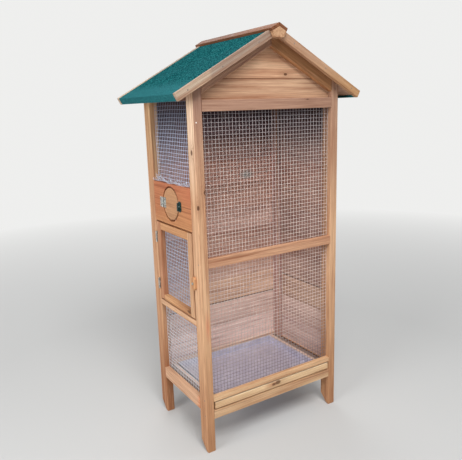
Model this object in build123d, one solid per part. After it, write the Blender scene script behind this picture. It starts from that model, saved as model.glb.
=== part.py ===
from build123d import *
import math
import os

# Aviary of planed softwood on four legs, with a felted gable roof, welded mesh
# on the front and the left flank, boarded rear and right walls, a mesh door
# and a round hatch in the left flank, and a tray that slides out of the front.
# Millimetres, +Z up, front towards -Y, the doored flank towards -X.
# The origin is on the ground, under the middle of the whole outline.

# Posts and overall frame
frame_width = 572.0
frame_depth = 364.0
post_face = 30.0
post_side = 46.0
post_arris = 3.0
foot_cut_height = 34.0
foot_cut_depth = 34.0
foot_cut_round = 12.0

# Rails, the door's frame too
rail_thickness = 18.0
top_rail_below_ridge = 218.0
top_rail_height = 34.0
mid_rail_bottom = 651.0
mid_rail_height = 30.0
tray_rail_height = 17.0
front_base_bottom = 120.0
front_base_height = 31.0
base_rail_bottom = 147.0
right_base_bottom = 131.0
base_rail_height = 41.0
door_sill_bottom = 448.0
door_sill_height = 18.0

# Roof
roof_pitch = 29.0
ridge_height = 1390.0
barge_past_eave = 3.0
barge_depth = 25.0
barge_thickness = 15.0
front_overhang = 32.0
rear_overhang = 59.0
ridge_lap = 14.0
beam_shoulder = 33.0
felt_step = 2.0
felt_thickness = 2.0
panel_thickness = 12.0
panel_length = 375.0
rafter_depth = 34.0
mitre_gap = 0.6
cap_thickness = 10.0

# Boards of the gables and of the closed walls
board_thickness = 10.0
groove_width = 3.0
groove_depth = 1.5
gable_board_cover = 75.0
gable_joint_below_ridge = 156.0
gable_board_lap = 8.0
wall_board_cover = 95.0

# Door in the left flank
door_height = 288.0
door_gap = 6.0
door_top_rail = 26.0
door_bottom_rail = 18.0
door_stile = 28.0
hinge_leaf_height = 40.0
hinge_leaf_depth = 15.0
hinge_leaf_thickness = 1.2
hinge_barrel_radius = 3.0
hinge_stand_off = 3.6
hinge_pin_radius = 1.2
pin_play = 0.05
hinge_knuckle_gap = 0.4
hinge_inset = 36.0

# Wooden button on the post, which turns over the door's edge
button_length = 44.0
button_width = 18.0
button_thickness = 9.0
button_play = 0.5
button_height = 600.0
button_inset = 9.0
button_screw_radius = 2.0
button_head_radius = 4.5
button_head_height = 2.0

# Board with the round hatch
hatch_board_height = 139.0
hatch_radius = 54.0
hatch_gap = 6.0
hatch_thickness = 12.0
hatch_raise = 2.5
hatch_set_back = 8.0
hatch_leaf_height = 35.0
hatch_leaf_reach = 22.0
hatch_barrel_radius = 2.4
hatch_pin_radius = 1.0

# Thumb turn that holds the hatch shut
catch_length = 36.0
catch_width = 20.0
catch_plate = 2.5
catch_wing_length = 28.0
catch_wing_width = 5.0
catch_wing_height = 8.0
catch_boss_radius = 5.0
catch_boss_height = 5.0
catch_stand_off = 10.0
catch_pin_radius = 2.0
catch_pin_grip = 3.0

# Tray
tray_front_height = 23.0
tray_front_gap = 5.0
tray_wall = 1.0
tray_side_clearance = 35.0
tray_rim_fold = 5.0
tray_rear_clearance = 10.0
runner_bearing = 12.0
runner_height = 20.0
runner_play = 0.3
guide_gap = 5.0
guide_drop = 3.0

# Welded mesh
mesh_pitch = 12.7
wire = 1.1
mesh_edge = 2.0
mesh_lap = 6.0

# Planes and edges that the pieces share
tan_pitch = math.tan(math.radians(roof_pitch))
cos_pitch = math.cos(math.radians(roof_pitch))
sin_pitch = math.sin(math.radians(roof_pitch))
half_width = frame_width / 2
inner_half = half_width - post_face
front_y = (front_overhang - rear_overhang - frame_depth) / 2
rear_y = front_y + frame_depth
front_inner_y = front_y + post_side
rear_inner_y = rear_y - post_side
front_rail_back = front_y + rail_thickness
rear_rail_face = rear_y - rail_thickness
rear_board_face = rear_y - board_thickness
left_rail_back = rail_thickness - half_width
right_rail_face = half_width - rail_thickness
right_board_face = half_width - board_thickness
front_barge_y = front_y - front_overhang
rear_barge_y = rear_y + rear_overhang
panel_front_y = front_barge_y + barge_thickness
panel_rear_y = rear_barge_y - barge_thickness
ridge_front_y = front_barge_y - ridge_lap
ridge_rear_y = rear_barge_y + ridge_lap
panel_top = felt_step + felt_thickness
top_rail_top = ridge_height - top_rail_below_ridge
top_rail_bottom = top_rail_top - top_rail_height
gable_board_bottom = top_rail_bottom + gable_board_lap
base_rail_top = base_rail_bottom + base_rail_height
right_base_top = right_base_bottom + base_rail_height
door_sill_top = door_sill_bottom + door_sill_height
door_bottom = door_sill_top + door_gap
door_top = door_bottom + door_height
hatch_board_bottom = door_top + door_gap
hatch_board_top = hatch_board_bottom + hatch_board_height
hatch_height = (hatch_board_bottom + hatch_board_top) / 2 + hatch_raise
tray_bottom = front_base_bottom + front_base_height + tray_front_gap
tray_top = tray_bottom + tray_front_height
tray_rail_bottom = tray_top + tray_front_gap
panel_underside = panel_top + panel_thickness


def block(x0, x1, y0, y1, z0, z1):
    """A block between opposite corners."""
    centre = Pos((x0 + x1) / 2, (y0 + y1) / 2, (z0 + z1) / 2)
    return centre * Box(x1 - x0, y1 - y0, z1 - z0)


def prism_y(points, y0, y1):
    """An outline in X and Z, carried from y0 to y1."""
    outline = Polyline([(x, y0, z) for x, z in points], close=True)
    return extrude(make_face(outline), amount=y1 - y0, dir=(0, 1, 0))


def prism_x(points, x0, x1):
    """An outline in Y and Z, carried from x0 to x1."""
    outline = Polyline([(x0, y, z) for y, z in points], close=True)
    return extrude(make_face(outline), amount=x1 - x0, dir=(1, 0, 0))


def upright_bar(x, y, radius, z0, z1):
    """A round bar that stands on end."""
    return Pos(x, y, (z0 + z1) / 2) * Cylinder(radius, z1 - z0)


def outward_bar(y, z, radius, x0, x1):
    """A round bar that lies along X."""
    return Pos((x0 + x1) / 2, y, z) * Rot(0, 90, 0) * Cylinder(radius, x1 - x0)


def upright_slot(y, z, length, width, x0, x1):
    """A round-ended plate that faces along X and stands upright."""
    face = Plane(origin=(x0, y, z), x_dir=(0, 0, 1), z_dir=(1, 0, 0))
    return extrude(face * SlotOverall(length, width), amount=x1 - x0)


def slope_height(x, depth):
    """Height of the roof slope at x, for a depth square below its top line."""
    return ridge_height - abs(x) * tan_pitch - depth / cos_pitch


def slope_point(side, along, depth):
    """A point down the slope from the ridge and square below its top line."""
    x = side * (along * cos_pitch - depth * sin_pitch)
    return (x, ridge_height - along * sin_pitch - depth * cos_pitch)


def slope_slab(side, along, depth, y0, y1):
    """A slab that lies along one slope, its ends square to the slope."""
    corners = [
        (along[0], depth[0]),
        (along[1], depth[0]),
        (along[1], depth[1]),
        (along[0], depth[1]),
    ]
    return prism_y([slope_point(side, *corner) for corner in corners], y0, y1)


def save(name, *solids):
    """Writes one node, of one solid or of like solids that do not touch."""
    shape = solids[0] if len(solids) == 1 else Compound(children=list(solids))
    shape.label = name
    export_step(shape, f"parts/{name}.step")


# Posts: arrises rounded, tops cut to the roof, feet cut away at the back
def corner_post(side, front):
    x0 = min(side * half_width, side * inner_half)
    y0 = front_y if front else rear_inner_y
    y1 = y0 + post_side
    heel_y = y1 - foot_cut_depth
    corners = [(y0, 0), (heel_y, 0), (y1, foot_cut_height), (y1, ridge_height), (y0, ridge_height)]
    profile = make_face(Polyline([(x0, y, z) for y, z in corners], close=True)).face()
    cut_ends = profile.vertices().filter_by_position(Axis.Z, 0, foot_cut_height)
    cut_ends = cut_ends.filter_by_position(Axis.Y, heel_y, y1)
    profile = profile.fillet_2d(foot_cut_round, cut_ends)
    post = extrude(profile, amount=post_face, dir=(1, 0, 0))
    post = fillet(post.edges().filter_by(Axis.Z), post_arris)
    above = [
        (x0, slope_height(x0, panel_underside)),
        (x0 + post_face, slope_height(x0 + post_face, panel_underside)),
        (x0 + post_face, ridge_height + 1),
        (x0, ridge_height + 1),
    ]
    return post - prism_y(above, y0, y1)


# Boards: a V groove is planed into both faces at each joint
def joint_heights(first, cover, top):
    """Heights of the joints between level boards, up to a top edge."""
    count = math.ceil((top - first) / cover)
    return [first + cover * number for number in range(count)]


def groove(face, inward, height):
    """Outline of one V groove, from its face inwards."""
    return [
        (face, height - groove_width / 2),
        (face, height + groove_width / 2),
        (face + inward * groove_depth, height),
    ]


def groove_along_x(boards, faces, heights):
    """Boards that run along X, with the grooves cut in both faces."""
    for height in heights:
        for face, inward in zip(faces, (1, -1)):
            boards -= prism_x(groove(face, inward, height), -inner_half, inner_half)
    return boards


def beam_outline():
    """Ridge beam: two roof slopes, two sides square to them, a flat bottom."""
    return [
        slope_point(-1, beam_shoulder, barge_depth),
        slope_point(-1, beam_shoulder, panel_top),
        (0, slope_height(0, panel_top)),
        slope_point(1, beam_shoulder, panel_top),
        slope_point(1, beam_shoulder, barge_depth),
    ]


def gable_boards(y0):
    """Boards that close a gable behind its rafters, up to the roof panels."""
    y1 = y0 + board_thickness
    eave_height = slope_height(inner_half, panel_underside)
    outline = [
        (-inner_half, gable_board_bottom),
        (inner_half, gable_board_bottom),
        (inner_half, eave_height),
        (0, slope_height(0, panel_underside)),
        (-inner_half, eave_height),
    ]
    boards = prism_y(outline, y0, y1) - prism_y(beam_outline(), y0, y1)
    top = slope_height(0, panel_underside + rafter_depth)
    first = ridge_height - gable_joint_below_ridge
    return groove_along_x(boards, (y0, y1), joint_heights(first, gable_board_cover, top))


def rear_wall():
    """Level boards between the rear posts, flush with their rear faces."""
    boards = block(
        -inner_half, inner_half, rear_board_face, rear_y, base_rail_top, top_rail_bottom
    )
    first = base_rail_top + wall_board_cover
    heights = joint_heights(first, wall_board_cover, top_rail_bottom)
    return groove_along_x(boards, (rear_board_face, rear_y), heights)


def right_wall():
    """Level boards between the right posts, flush with their outer faces."""
    boards = block(
        right_board_face,
        half_width,
        front_inner_y,
        rear_inner_y,
        right_base_top,
        top_rail_top,
    )
    first = right_base_top + wall_board_cover
    for height in joint_heights(first, wall_board_cover, top_rail_top):
        for face, inward in ((right_board_face, 1), (half_width, -1)):
            boards -= prism_y(groove(face, inward, height), front_inner_y, rear_inner_y)
    return boards


# Members that follow the slope
def rafter(side, y0):
    """Gable member from the post's inner face up to the ridge beam."""
    y1 = y0 + rail_thickness
    foot_x = side * inner_half
    head_x = side * mitre_gap / 2
    underside = panel_underside + rafter_depth
    outline = [
        (head_x, slope_height(head_x, panel_underside)),
        (foot_x, slope_height(foot_x, panel_underside)),
        (foot_x, slope_height(foot_x, underside)),
        (head_x, slope_height(head_x, underside)),
    ]
    return prism_y(outline, y0, y1) - prism_y(beam_outline(), y0, y1)


def flank_top_rail(side):
    """Rail under the eave, with its top planed to the slope."""
    outer = side * half_width
    inner = side * right_rail_face
    outline = [
        (outer, top_rail_top),
        (inner, top_rail_top),
        (inner, slope_height(inner, panel_underside)),
        (outer, slope_height(outer, panel_underside)),
    ]
    return prism_y(outline, front_inner_y, rear_inner_y)


def roof_felt(side):
    """Felt on one slope, folded down over the eave edge of the panel."""
    eave = beam_shoulder + panel_length
    fold = eave + felt_thickness
    level = (felt_step, panel_top)
    sheet = slope_slab(side, (beam_shoulder, fold), level, panel_front_y, panel_rear_y)
    drop = (felt_step, barge_depth)
    return sheet + slope_slab(side, (eave, fold), drop, panel_front_y, panel_rear_y)


def cap_plank(side):
    """Plank of the ridge cap on the beam, which meets its twin at a mitre."""
    head_x = side * mitre_gap / 2
    cap_top = panel_top - cap_thickness
    outline = [
        (head_x, slope_height(head_x, panel_top)),
        slope_point(side, beam_shoulder, panel_top),
        slope_point(side, beam_shoulder, cap_top),
        (head_x, slope_height(head_x, cap_top)),
    ]
    return prism_y(outline, ridge_front_y, ridge_rear_y)


# Welded mesh: square wires in two layers that touch where they cross, the
# uprights against the timber and the crosswires on the inside
def wire_places(start, end):
    """Evenly pitched wire centres, set midway between two edges."""
    count = math.floor((end - start - 2 * mesh_edge) / mesh_pitch)
    first = (start + end - count * mesh_pitch) / 2
    return [first + mesh_pitch * number for number in range(count + 1)]


def front_sheet(x0, x1, z0, z1, y):
    """Uprights and crosswires of a sheet that faces along Y."""
    half = wire / 2
    uprights = [block(x - half, x + half, y, y + wire, z0, z1) for x in wire_places(x0, x1)]
    crosswires = [
        block(x0, x1, y + wire, y + 2 * wire, z - half, z + half) for z in wire_places(z0, z1)
    ]
    return uprights, crosswires


def flank_sheet(y0, y1, z0, z1, x):
    """Uprights and crosswires of a sheet that faces along X."""
    half = wire / 2
    uprights = [block(x, x + wire, y - half, y + half, z0, z1) for y in wire_places(y0, y1)]
    crosswires = [
        block(x + wire, x + 2 * wire, y0, y1, z - half, z + half) for z in wire_places(z0, z1)
    ]
    return uprights, crosswires


# Hinges: two leaves, with three knuckles on one pin
def knuckles(low, height):
    """Lower and upper end of each of the three knuckles of a hinge."""
    knuckle = (height - 2 * hinge_knuckle_gap) / 3
    step = knuckle + hinge_knuckle_gap
    return [(low + step * number, low + step * number + knuckle) for number in range(3)]


door_front_y = front_inner_y + door_gap
door_rear_y = rear_inner_y - door_gap
door_axis_x = -half_width - hinge_stand_off
door_axis_y = rear_inner_y - door_gap / 2


def door_hinge(low):
    """Butt hinge let into the gap behind the door: frame leaf, door leaf."""
    high = low + hinge_leaf_height
    leaf_x = (-half_width, -half_width + hinge_leaf_depth)
    tab_x = (door_axis_x, -half_width)
    lower, middle, upper = knuckles(low, hinge_leaf_height)
    frame_y = (rear_inner_y - hinge_leaf_thickness, rear_inner_y)
    frame_leaf = block(*leaf_x, *frame_y, low, high)
    for ends in (lower, upper):
        frame_leaf += block(*tab_x, *frame_y, *ends)
        frame_leaf += upright_bar(door_axis_x, door_axis_y, hinge_barrel_radius, *ends)
    frame_leaf += upright_bar(door_axis_x, door_axis_y, hinge_pin_radius, low, high)
    door_y = (door_rear_y, door_rear_y + hinge_leaf_thickness)
    door_leaf = block(*leaf_x, *door_y, low, high) + block(*tab_x, *door_y, *middle)
    door_leaf += upright_bar(door_axis_x, door_axis_y, hinge_barrel_radius, *middle)
    bore = hinge_pin_radius + pin_play
    return frame_leaf, door_leaf - upright_bar(door_axis_x, door_axis_y, bore, *middle)


hatch_y = (front_inner_y + rear_inner_y) / 2 + hatch_set_back
hatch_axis_x = -half_width - hatch_barrel_radius
hatch_axis_y = hatch_y + hatch_radius + hatch_gap / 2


def hatch_hinge():
    """Butt hinge on the face, across the hatch's rear edge: board and disc leaf."""
    low = hatch_height - hatch_leaf_height / 2
    high = low + hatch_leaf_height
    leaf_x = (-half_width - hinge_leaf_thickness, -half_width)
    clear = hatch_barrel_radius + hinge_knuckle_gap
    lower, middle, upper = knuckles(low, hatch_leaf_height)
    board_edge_y = hatch_axis_y + clear
    board_leaf = block(*leaf_x, board_edge_y, hatch_axis_y + hatch_leaf_reach, low, high)
    for ends in (lower, upper):
        board_leaf += block(*leaf_x, hatch_axis_y, board_edge_y, *ends)
        board_leaf += upright_bar(hatch_axis_x, hatch_axis_y, hatch_barrel_radius, *ends)
    board_leaf += upright_bar(hatch_axis_x, hatch_axis_y, hatch_pin_radius, low, high)
    disc_edge_y = hatch_axis_y - clear
    disc_leaf = block(*leaf_x, hatch_axis_y - hatch_leaf_reach, disc_edge_y, low, high)
    disc_leaf += block(*leaf_x, disc_edge_y, hatch_axis_y, *middle)
    disc_leaf += upright_bar(hatch_axis_x, hatch_axis_y, hatch_barrel_radius, *middle)
    bore = hatch_pin_radius + pin_play
    return board_leaf, disc_leaf - upright_bar(hatch_axis_x, hatch_axis_y, bore, *middle)


# Turning fasteners
button_y = front_inner_y - button_inset
button_inner_x = -half_width - button_play
button_outer_x = button_inner_x - button_thickness
catch_y = hatch_y - hatch_radius - hatch_gap - catch_stand_off
catch_inner_x = -half_width - button_play
catch_plate_x = catch_inner_x - catch_plate


def door_button():
    """Round-ended wooden button, upright beside the door."""
    place = (button_y, button_height)
    button = upright_slot(*place, button_length, button_width, button_outer_x, button_inner_x)
    bore = button_screw_radius + pin_play
    return button - outward_bar(*place, bore, button_outer_x, button_inner_x)


def door_button_screw():
    """Screw that the button turns on, with its flat round head."""
    place = (button_y, button_height)
    head_x = button_outer_x - button_play
    screw = outward_bar(*place, button_screw_radius, head_x, -half_width)
    return screw + outward_bar(*place, button_head_radius, head_x - button_head_height, head_x)


def hatch_catch():
    """Thumb turn: round-ended plate, round boss, and a wing to grip."""
    place = (catch_y, hatch_height)
    catch = upright_slot(*place, catch_length, catch_width, catch_plate_x, catch_inner_x)
    boss_x = catch_plate_x - catch_boss_height
    catch += outward_bar(*place, catch_boss_radius, boss_x, catch_plate_x)
    wing_x = catch_plate_x - catch_wing_height
    catch += upright_slot(*place, catch_wing_length, catch_wing_width, wing_x, catch_plate_x)
    bore_end = catch_plate_x - catch_pin_grip - button_play
    return catch - outward_bar(*place, catch_pin_radius + pin_play, bore_end, catch_inner_x)


def hatch_catch_pin():
    """Pin in the board that the thumb turn sits on."""
    place = (catch_y, hatch_height)
    return outward_bar(*place, catch_pin_radius, catch_plate_x - catch_pin_grip, -half_width)


# Tray: a folded pan behind a wooden front, on two runners, between two guides
tray_half_width = inner_half - tray_side_clearance - tray_rim_fold
tray_rear_y = rear_rail_face - tray_rear_clearance
runner_top = tray_bottom - runner_play


def tray_pan():
    """Folded pan, with a fold outwards along its rim at the sides and rear."""
    half = tray_half_width
    pan = block(-half, half, front_rail_back, tray_rear_y, tray_bottom, tray_top)
    lip_half = half + tray_rim_fold
    lip_bottom = tray_top - tray_wall
    lip_rear_y = tray_rear_y + tray_rim_fold
    pan += block(-lip_half, lip_half, front_rail_back, lip_rear_y, lip_bottom, tray_top)
    return pan - block(
        -half + tray_wall,
        half - tray_wall,
        front_rail_back + tray_wall,
        tray_rear_y - tray_wall,
        tray_bottom + tray_wall,
        tray_top,
    )


def runner(side):
    """Batten from the front base rail to the rear one, under the pan's edge."""
    x0, x1 = sorted((side * (tray_half_width - runner_bearing), side * inner_half))
    return block(x0, x1, front_rail_back, rear_rail_face, runner_top - runner_height, runner_top)


def guide(side):
    """Batten on the runner, between the pan's rim and the posts."""
    x0, x1 = sorted((side * (tray_half_width + tray_rim_fold + guide_gap), side * inner_half))
    guide_front_y = front_rail_back + guide_gap
    return block(x0, x1, guide_front_y, rear_rail_face, runner_top, tray_top - guide_drop)


os.makedirs("parts", exist_ok=True)

# Posts and rails
save("front_left_post", corner_post(-1, True))
save("front_right_post", corner_post(1, True))
save("rear_left_post", corner_post(-1, False))
save("rear_right_post", corner_post(1, False))

save(
    "top_rails",
    *[
        block(-inner_half, inner_half, y, y + rail_thickness, top_rail_bottom, top_rail_top)
        for y in (front_y, rear_rail_face)
    ],
)
front_rails = {
    "front_mid_rail": (mid_rail_bottom, mid_rail_height),
    "front_tray_rail": (tray_rail_bottom, tray_rail_height),
    "front_base_rail": (front_base_bottom, front_base_height),
}
for name, (bottom, height) in front_rails.items():
    save(name, block(-inner_half, inner_half, front_y, front_rail_back, bottom, bottom + height))

save(
    "rear_base_rail",
    block(-inner_half, inner_half, rear_rail_face, rear_y, base_rail_bottom, base_rail_top),
)
left_rails = {
    "left_base_rail": (base_rail_bottom, base_rail_top),
    "door_sill": (door_sill_bottom, door_sill_top),
}
for name, heights in left_rails.items():
    save(name, block(-half_width, left_rail_back, front_inner_y, rear_inner_y, *heights))
save(
    "right_base_rail",
    block(
        right_rail_face,
        half_width,
        front_inner_y,
        rear_inner_y,
        right_base_bottom,
        right_base_top,
    ),
)
save("flank_top_rails", flank_top_rail(-1), flank_top_rail(1))

# Boarded walls and gables
save("rear_wall", rear_wall())
save("right_wall", right_wall())
save("gable_boards", gable_boards(front_rail_back), gable_boards(rear_rail_face - board_thickness))
save("rafters", *[rafter(side, y) for side in (-1, 1) for y in (front_y, rear_rail_face)])

# Roof
eave_edge = beam_shoulder + panel_length
save(
    "roof_panels",
    *[
        slope_slab(
            side,
            (beam_shoulder, eave_edge),
            (panel_top, panel_underside),
            panel_front_y,
            panel_rear_y,
        )
        for side in (-1, 1)
    ],
)
save("roof_felt", roof_felt(-1), roof_felt(1))
barge_span = (beam_shoulder, eave_edge + barge_past_eave)
save(
    "barge_boards",
    *[
        slope_slab(side, barge_span, (0, barge_depth), y, y + barge_thickness)
        for side in (-1, 1)
        for y in (front_barge_y, panel_rear_y)
    ],
)
save("ridge_beam", prism_y(beam_outline(), ridge_front_y, ridge_rear_y))
save("ridge_cap", cap_plank(-1), cap_plank(1))

# Hatch
hatch_board = block(
    -half_width,
    left_rail_back,
    front_inner_y,
    rear_inner_y,
    hatch_board_bottom,
    hatch_board_top,
)
hatch_place = (hatch_y, hatch_height)
hatch_hole = outward_bar(*hatch_place, hatch_radius + hatch_gap, -half_width, left_rail_back)
save("hatch_board", hatch_board - hatch_hole)
save(
    "hatch_disc",
    outward_bar(*hatch_place, hatch_radius, -half_width, -half_width + hatch_thickness),
)
hatch_board_leaf, hatch_disc_leaf = hatch_hinge()
save("hatch_board_leaf", hatch_board_leaf)
save("hatch_disc_leaf", hatch_disc_leaf)
save("hatch_catch", hatch_catch())

# Door
save(
    "door_stiles",
    *[
        block(-half_width, left_rail_back, y, y + door_stile, door_bottom, door_top)
        for y in (door_front_y, door_rear_y - door_stile)
    ],
)
door_rail_ends = (door_front_y + door_stile, door_rear_y - door_stile)
door_mesh_bottom = door_bottom + door_bottom_rail
door_mesh_top = door_top - door_top_rail
save(
    "door_rails",
    block(-half_width, left_rail_back, *door_rail_ends, door_bottom, door_mesh_bottom),
    block(-half_width, left_rail_back, *door_rail_ends, door_mesh_top, door_top),
)
upper_hinge_low = door_top - hinge_inset - hinge_leaf_height
hinges = [door_hinge(low) for low in (door_bottom + hinge_inset, upper_hinge_low)]
save("door_frame_leaves", *[frame_leaf for frame_leaf, door_leaf in hinges])
save("door_leaves", *[door_leaf for frame_leaf, door_leaf in hinges])
save("door_button", door_button())
save("fastener_pins", door_button_screw(), hatch_catch_pin())

# Mesh on the front, on the left flank above and below the door, and on the door
front_uprights, front_crosswires = front_sheet(
    -inner_half, inner_half, tray_rail_bottom + mesh_edge, gable_board_bottom, front_rail_back
)
save("front_mesh_uprights", *front_uprights)
save("front_mesh_crosswires", *front_crosswires)
door_mesh_ends = (door_rail_ends[0] - mesh_lap, door_rail_ends[1] + mesh_lap)
flank_places = {
    "lower_mesh": (front_inner_y, rear_inner_y, base_rail_top, door_sill_bottom),
    "upper_mesh": (front_inner_y, rear_inner_y, hatch_board_top, top_rail_top),
    "door_mesh": (*door_mesh_ends, door_mesh_bottom, door_mesh_top),
}
for name, (y0, y1, bottom, top) in flank_places.items():
    uprights, crosswires = flank_sheet(y0, y1, bottom - mesh_lap, top + mesh_lap, left_rail_back)
    save(f"{name}_uprights", *uprights)
    save(f"{name}_crosswires", *crosswires)

# Tray, its runners and its guides
tray_front_half = inner_half - tray_front_gap
save(
    "tray_front",
    block(
        -tray_front_half,
        tray_front_half,
        front_y,
        front_rail_back,
        tray_bottom,
        tray_top,
    ),
)
save("tray_pan", tray_pan())
save("tray_runners", runner(-1), runner(1))
save("tray_guides", guide(-1), guide(1))
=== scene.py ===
import math
import random

import bmesh
import bpy
from mathutils import Matrix, Vector


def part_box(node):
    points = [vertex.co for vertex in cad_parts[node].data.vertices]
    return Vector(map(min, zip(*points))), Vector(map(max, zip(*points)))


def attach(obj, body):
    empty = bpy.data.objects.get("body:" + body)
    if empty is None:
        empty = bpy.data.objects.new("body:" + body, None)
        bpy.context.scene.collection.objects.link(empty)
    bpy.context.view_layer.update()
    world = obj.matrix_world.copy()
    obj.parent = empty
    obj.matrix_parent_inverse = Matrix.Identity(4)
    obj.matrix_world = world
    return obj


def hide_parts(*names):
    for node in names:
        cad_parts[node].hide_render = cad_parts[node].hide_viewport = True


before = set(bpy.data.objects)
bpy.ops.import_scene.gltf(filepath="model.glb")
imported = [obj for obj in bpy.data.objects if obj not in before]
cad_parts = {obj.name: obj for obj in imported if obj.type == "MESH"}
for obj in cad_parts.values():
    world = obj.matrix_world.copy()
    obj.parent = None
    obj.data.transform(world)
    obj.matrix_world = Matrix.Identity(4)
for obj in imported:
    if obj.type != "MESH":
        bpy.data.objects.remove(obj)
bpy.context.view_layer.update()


# Corner posts: four planed pine legs stained honey brown, their long arrises
# rounded and their feet cut away behind. Each runs from the ground to the roof
# and carries the rails, which are screwed in between them.
class Sum:
    """A shader socket that can stand in a Python sum."""

    def __init__(self, nodes, socket):
        self.nodes = nodes
        self.socket = socket

    def math(self, operation, *others):
        return self.nodes.math(operation, self, *others)

    def __add__(self, other):
        return self.math("ADD", other)

    __radd__ = __add__

    def __sub__(self, other):
        return self.math("SUBTRACT", other)

    def __rsub__(self, other):
        return self.nodes.math("SUBTRACT", other, self)

    def __mul__(self, other):
        return self.math("MULTIPLY", other)

    __rmul__ = __mul__

    def __truediv__(self, other):
        return self.math("DIVIDE", other)

    def __abs__(self):
        return self.math("ABSOLUTE")

    def clamp(self):
        return self.math("MAXIMUM", 0.0).math("MINIMUM", 1.0)

    def past_zero(self):
        """0 up to zero and 1 from a millimetre past it, to tell two faces apart."""
        return (self * 900.0).clamp()


class Nodes:
    """A node tree, and the one way in which nodes are put into it."""

    def __init__(self, tree):
        self.tree = tree

    def put(self, kind, settings=None, sockets=None):
        """Adds a node: its settings first, then the values or links of its sockets."""
        node = self.tree.nodes.new(kind)
        for key, value in (settings or {}).items():
            setattr(node, key, value)
        for key, value in (sockets or {}).items():
            if isinstance(value, Sum):
                value = value.socket
            if isinstance(value, bpy.types.NodeSocket):
                self.tree.links.new(value, node.inputs[key])
            else:
                node.inputs[key].default_value = value
        return node

    def math(self, operation, *values):
        sockets = dict(enumerate(values))
        return Sum(self, self.put("ShaderNodeMath", {"operation": operation}, sockets).outputs[0])


class Finish(Nodes):
    """A material in the making: one shader, and the nodes that feed it."""

    def __init__(self, name, roughness=0.5, metallic=0.0, specular=0.5):
        self.material = bpy.data.materials.new(name)
        self.material.use_nodes = True
        super().__init__(self.material.node_tree)
        self.shader = self.tree.nodes["Principled BSDF"]
        self.shader.inputs["Roughness"].default_value = roughness
        self.shader.inputs["Metallic"].default_value = metallic
        self.shader.inputs["Specular IOR Level"].default_value = specular

    def place(self):
        """Object coordinates, as three sums."""
        coordinates = self.put("ShaderNodeTexCoord").outputs["Object"]
        parts = self.put("ShaderNodeSeparateXYZ", None, {0: coordinates}).outputs
        return [Sum(self, part) for part in parts]

    def vector(self, *parts):
        return self.put("ShaderNodeCombineXYZ", None, dict(enumerate(parts))).outputs[0]

    def noise(self, parts, detail, roughness=0.5):
        """Noise of unit grain over a vector that is already scaled."""
        sockets = {"Vector": self.vector(*parts), "Scale": 1.0, "Detail": detail}
        sockets["Roughness"] = roughness
        return Sum(self, self.put("ShaderNodeTexNoise", None, sockets).outputs[0])

    def speckle(self, scale, detail=2.0, roughness=0.5):
        """Noise of this many grains a metre, the same in every direction."""
        return self.noise([part * scale for part in self.place()], detail, roughness)

    def chance(self, number):
        """A number from 0 to 1 that belongs to this number."""
        node = self.put("ShaderNodeTexWhiteNoise", {"noise_dimensions": "1D"}, {"W": number})
        return Sum(self, node.outputs["Value"])

    def cells(self, parts, dimensions="2D"):
        """Distance to the nearest cell's middle, and that cell's own chance."""
        sockets = {"Vector": self.vector(*parts), "Scale": 1.0}
        node = self.put("ShaderNodeTexVoronoi", {"voronoi_dimensions": dimensions}, sockets)
        chance = self.put("ShaderNodeSeparateColor", None, {0: node.outputs["Color"]})
        return Sum(self, node.outputs["Distance"]), Sum(self, chance.outputs[0])

    def ramp(self, factor, stops, interpolation="LINEAR"):
        """A colour from a list of places and colours."""
        node = self.put("ShaderNodeValToRGB", None, {0: factor})
        ramp = node.color_ramp
        ramp.interpolation = interpolation
        while len(ramp.elements) < len(stops):
            ramp.elements.new(1.0)
        for element, (position, colour) in zip(ramp.elements, stops):
            element.position = position
            element.color = (*colour, 1.0)
        return node.outputs[0]

    def mix(self, factor, first, second, blend="MIX"):
        """A colour between two colours."""
        settings = {"data_type": "RGBA", "blend_type": blend, "clamp_factor": True}
        colours = [
            colour if isinstance(colour, bpy.types.NodeSocket) else (*colour, 1.0)
            for colour in (first, second)
        ]
        sockets = {0: factor, 6: colours[0], 7: colours[1]}
        return self.put("ShaderNodeMix", settings, sockets).outputs[2]

    def feed(self, socket, value):
        """Links a socket of the shader to a colour or a sum."""
        value = value.socket if isinstance(value, Sum) else value
        self.tree.links.new(value, self.shader.inputs[socket])

    def relief(self, height, depth, strength):
        """Bump from a height of 0 to 1 that stands for this depth in metres."""
        sockets = {"Height": height, "Distance": depth, "Strength": strength}
        self.feed("Normal", self.put("ShaderNodeBump", None, sockets).outputs[0])


PITCH = math.radians(29.0)
FRONT_FACE = -0.1955
LEFT_FACE = -0.2860
RING_WIDTH = 0.0034
PITH_DEPTH = 0.045
HONEY = ((0.78, 0.49, 0.29), (0.50, 0.25, 0.135), (0.20, 0.075, 0.035))
ROSY = ((0.60, 0.37, 0.25), (0.36, 0.19, 0.12), (0.16, 0.065, 0.04))
NO_STAIN = (1.0, 1.0, 1.0)


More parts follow.
